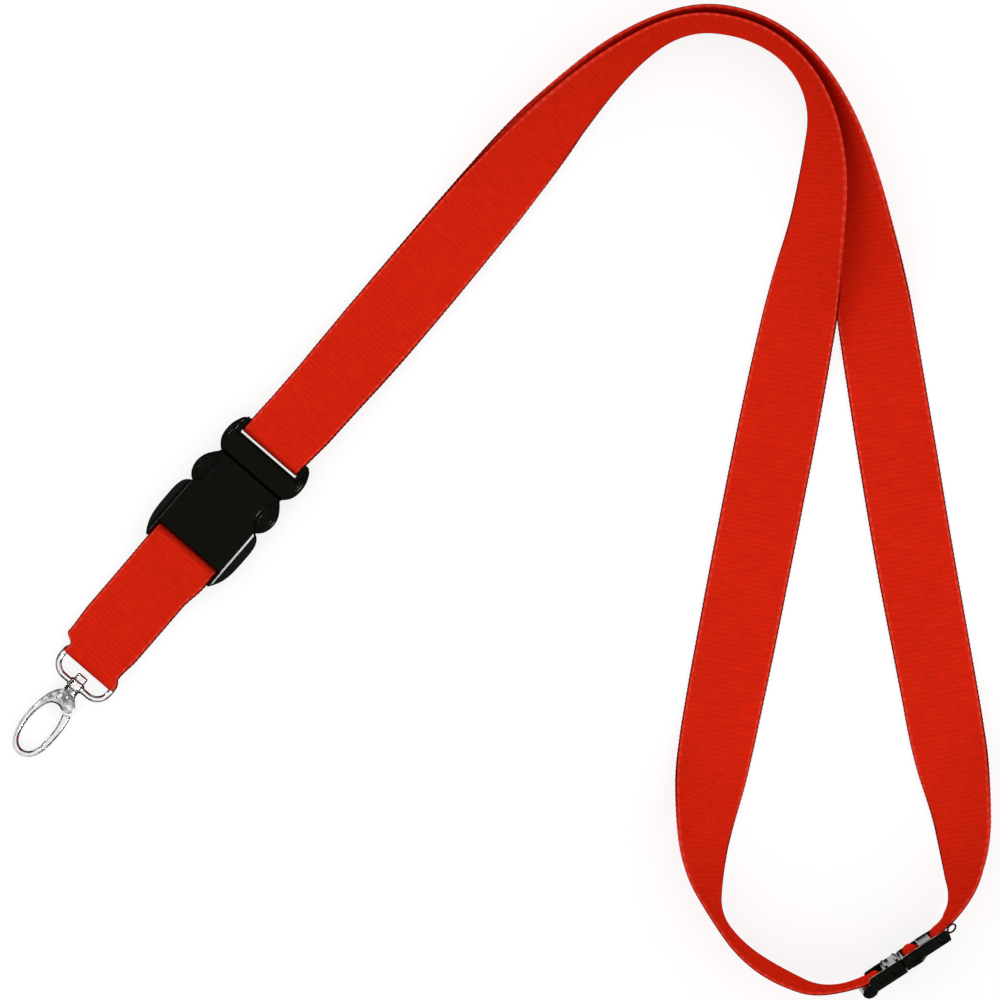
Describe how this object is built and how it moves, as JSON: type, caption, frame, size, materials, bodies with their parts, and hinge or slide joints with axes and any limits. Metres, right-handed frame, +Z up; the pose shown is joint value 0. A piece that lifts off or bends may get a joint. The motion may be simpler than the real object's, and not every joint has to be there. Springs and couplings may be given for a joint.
{
  "type": "neck lanyard",
  "caption": "Flat woven neck strap with a side-release buckle, a short strap with a D-ring and swivel trigger hook, and a breakaway clasp.",
  "frame": {"origin": "under the middle of the lanyard's outline, on the surface it lies on", "axes": "+Z up from the surface; the buckle and hook lie towards -X, the breakaway clasp towards +X and -Y"},
  "size_m": [0.2532, 0.2554, 0.024],
  "materials": {
    "webbing": "ribbed woven polyester, satin",
    "thread": "twisted polyester thread",
    "black_plastic": "moulded acetal, semi-gloss",
    "plated_metal": "nickel-plated zinc casting, bright",
    "spring_steel": "drawn wire"
  },
  "bodies": {
    "neck": {"neck_strap_upper": "webbing", "neck_strap_lower": "webbing", "neck_strap_lower_end": "webbing", "neck_strap_fold": "webbing", "buckle_male_frame": "black_plastic", "clasp_socket": "black_plastic", "strap_end_upper": "webbing"},
    "arm_left": {"buckle_arm_left": "black_plastic", "buckle_barb_left": "black_plastic"},
    "arm_right": {"buckle_arm_right": "black_plastic", "buckle_barb_right": "black_plastic"},
    "lower_half": {"buckle_female": "black_plastic", "short_strap": "webbing", "short_strap_seam": "thread"},
    "ring": {"d_ring": "plated_metal"},
    "hook": {"hook_body": "plated_metal", "swivel_pin": "plated_metal", "gate_pin": "plated_metal", "gate_spring": "spring_steel"},
    "gate": {"hook_gate": "plated_metal"},
    "clasp_end": {"clasp_plug": "black_plastic", "strap_end_lower": "webbing"}
  },
  "joints": [
    {"name": "buckle_release", "type": "slide", "parent": "neck", "child": "lower_half", "axis": [-0.6534, -0.757, 0], "range_m": [0, 0.026], "deforming": ["buckle_barb_left", "buckle_barb_right"]},
    {"name": "arm_left_squeeze", "type": "hinge", "parent": "neck", "child": "arm_left", "pos_m": [-0.07104, 0.01244, 0.004], "axis": [0, 0, 1], "range_deg": [0, 7], "stiffness_Nm_per_rad": 0.6},
    {"name": "arm_right_squeeze", "type": "hinge", "parent": "neck", "child": "arm_right", "pos_m": [-0.05802, 0.00121, 0.004], "axis": [0, 0, -1], "range_deg": [0, 7], "stiffness_Nm_per_rad": 0.6},
    {"name": "ring_swing", "type": "hinge", "parent": "lower_half", "child": "ring", "pos_m": [-0.1057, -0.04271, 0.0023], "axis": [-0.757, 0.6534, 0], "range_deg": [-120, 120]},
    {"name": "hook_swivel", "type": "hinge", "parent": "ring", "child": "hook", "pos_m": [-0.11001, -0.0477, 0.0023], "axis": [0.6534, 0.757, 0], "continuous": true},
    {"name": "gate_open", "type": "hinge", "parent": "hook", "child": "gate", "pos_m": [-0.11168, -0.05353, 0.0023], "axis": [0, 0, -1], "range_deg": [0, 25], "stiffness_Nm_per_rad": 0.02, "springref_deg": -11.46},
    {"name": "clasp_release", "type": "slide", "parent": "neck", "child": "clasp_end", "axis": [0.8387, 0.5446, 0], "range_m": [0, 0.01], "deforming": ["neck_strap_lower_end"]}
  ]
}
